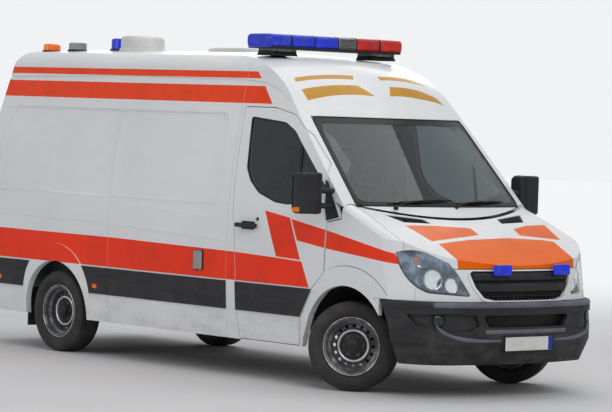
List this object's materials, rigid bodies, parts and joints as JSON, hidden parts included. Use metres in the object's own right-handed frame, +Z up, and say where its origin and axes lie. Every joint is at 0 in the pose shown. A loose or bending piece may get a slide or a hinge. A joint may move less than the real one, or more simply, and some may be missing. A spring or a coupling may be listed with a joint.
{
  "type": "ambulance",
  "caption": "High-roof van ambulance with opening doors and bonnet, steered and rolling wheels, hollow cab and load space, roof warning lamps and a load floor with stretcher bolt holes.",
  "frame": {"origin": "on the ground, under the middle of the vehicle's length and width", "axes": "+X forward, +Y to the vehicle's left, +Z up"},
  "size_m": [5.91, 2.59, 2.733],
  "materials": {
    "amber_lens": "amber lens",
    "bare_steel": "cast and machined iron",
    "black_plastic": "black moulded plastic",
    "blue_lens": "blue warning lens",
    "chassis_steel": "black chassis paint",
    "dash_plastic": "dark grey grained plastic",
    "engine_alloy": "cast alloy",
    "exhaust_steel": "dulled exhaust steel",
    "floor_vinyl": "grey load floor",
    "glass": "clear safety glass",
    "grey_plastic": "dark grey moulded plastic",
    "lamp_lens": "clear lamp lens",
    "panel_grey": "light grey lining board",
    "red_lens": "red lens",
    "reflector": "bright lamp reflector",
    "seat_fabric": "dark grey woven fabric",
    "tyre": "black tyre rubber",
    "wheel_steel": "silver painted steel",
    "white_paint": "gloss white body paint, weathered",
    "white_plastic": "white moulded plastic"
  },
  "bodies": {
    "body": {"amber_lamps": "amber_lens", "arch_liners": "black_plastic", "blue_lamps": "blue_lens", "cab_frame": "white_paint", "chassis_frame": "chassis_steel", "cowl": "black_plastic", "dashboard": "dash_plastic", "engine": "engine_alloy", "exhaust": "exhaust_steel", "firewall": "panel_grey", "floor": "floor_vinyl", "front_bumper": "grey_plastic", "front_fenders": "white_paint", "front_panel": "white_paint", "front_seats": "seat_fabric", "front_suspension": "chassis_steel", "fuel_tank": "chassis_steel", "gearbox_and_shaft": "engine_alloy", "grille": "black_plastic", "headlamp_bowls": "reflector", "headlamps": "lamp_lens", "number_plate": "white_plastic", "partition": "panel_grey", "rear_axle": "bare_steel", "rear_bumper": "grey_plastic", "rear_frame": "white_paint", "red_lamps": "red_lens", "roof_dome": "white_paint", "roof_fittings": "black_plastic", "roof_panel": "white_paint", "roof_vents": "white_plastic", "rub_strips": "grey_plastic", "side_door_left": "white_paint", "side_panel_left": "white_paint", "side_panel_right_front": "white_paint", "side_panel_right_rear": "white_paint", "steering_wheel": "dash_plastic", "windscreen": "glass"},
    "steer_right": {"knuckle_right": "bare_steel"},
    "steer_left": {"knuckle_left": "bare_steel"},
    "wheel_front_right": {"wheel_front_right_rim": "wheel_steel", "wheel_front_right_tyre": "tyre"},
    "wheel_front_left": {"wheel_front_left_rim": "wheel_steel", "wheel_front_left_tyre": "tyre"},
    "wheel_rear_right": {"wheel_rear_right_rim": "wheel_steel", "wheel_rear_right_tyre": "tyre"},
    "wheel_rear_left": {"wheel_rear_left_rim": "wheel_steel", "wheel_rear_left_tyre": "tyre"},
    "bonnet": {"bonnet": "white_paint"},
    "front_door_right": {"front_door_right": "white_paint", "front_door_right_fittings": "black_plastic", "front_door_right_glass": "glass"},
    "rear_door_right": {"rear_door_right": "white_paint", "rear_door_right_glass": "glass"},
    "front_door_left": {"front_door_left": "white_paint", "front_door_left_fittings": "black_plastic", "front_door_left_glass": "glass"},
    "rear_door_left": {"rear_door_left": "white_paint", "rear_door_left_glass": "glass"}
  },
  "joints": [
    {"name": "steer_right", "type": "hinge", "parent": "body", "child": "steer_right", "pos_m": [1.926, -0.85, 0.345], "axis": [0, 0, 1], "range_deg": [-69, 3]},
    {"name": "steer_left", "type": "hinge", "parent": "body", "child": "steer_left", "pos_m": [1.926, 0.85, 0.345], "axis": [0, 0, 1], "range_deg": [-69, 3]},
    {"name": "spin_front_right", "type": "hinge", "parent": "steer_right", "child": "wheel_front_right", "pos_m": [1.9287, -0.8542, 0.345], "axis": [-0.5446, 0.8387, 0], "continuous": true},
    {"name": "spin_front_left", "type": "hinge", "parent": "steer_left", "child": "wheel_front_left", "pos_m": [1.9233, 0.8542, 0.345], "axis": [-0.5446, 0.8387, 0], "continuous": true},
    {"name": "spin_rear_right", "type": "hinge", "parent": "body", "child": "wheel_rear_right", "pos_m": [-1.716, -0.855, 0.345], "axis": [0, 1, 0], "continuous": true},
    {"name": "spin_rear_left", "type": "hinge", "parent": "body", "child": "wheel_rear_left", "pos_m": [-1.716, 0.855, 0.345], "axis": [0, 1, 0], "continuous": true},
    {"name": "front_door_right_hinge", "type": "hinge", "parent": "body", "child": "front_door_right", "pos_m": [1.846, -0.985, 1], "axis": [0, 0, 1], "range_deg": [0, 70]},
    {"name": "front_door_left_hinge", "type": "hinge", "parent": "body", "child": "front_door_left", "pos_m": [1.846, 0.985, 1], "axis": [0, 0, -1], "range_deg": [0, 70]},
    {"name": "rear_door_right_hinge", "type": "hinge", "parent": "body", "child": "rear_door_right", "pos_m": [-2.964, -0.93, 0.6], "axis": [0.1399, 0.0685, 0.9878], "range_deg": [0, 180]},
    {"name": "rear_door_left_hinge", "type": "hinge", "parent": "body", "child": "rear_door_left", "pos_m": [-2.964, 0.93, 0.6], "axis": [-0.1399, 0.0685, -0.9878], "range_deg": [0, 180]},
    {"name": "bonnet_hinge", "type": "hinge", "parent": "body", "child": "bonnet", "pos_m": [1.956, 0, 1.4], "axis": [0, -1, 0], "range_deg": [0, 55]}
  ],
  "couplings": [
    {"joint": "steer_left", "follows": "steer_right", "ratio": 1}
  ]
}
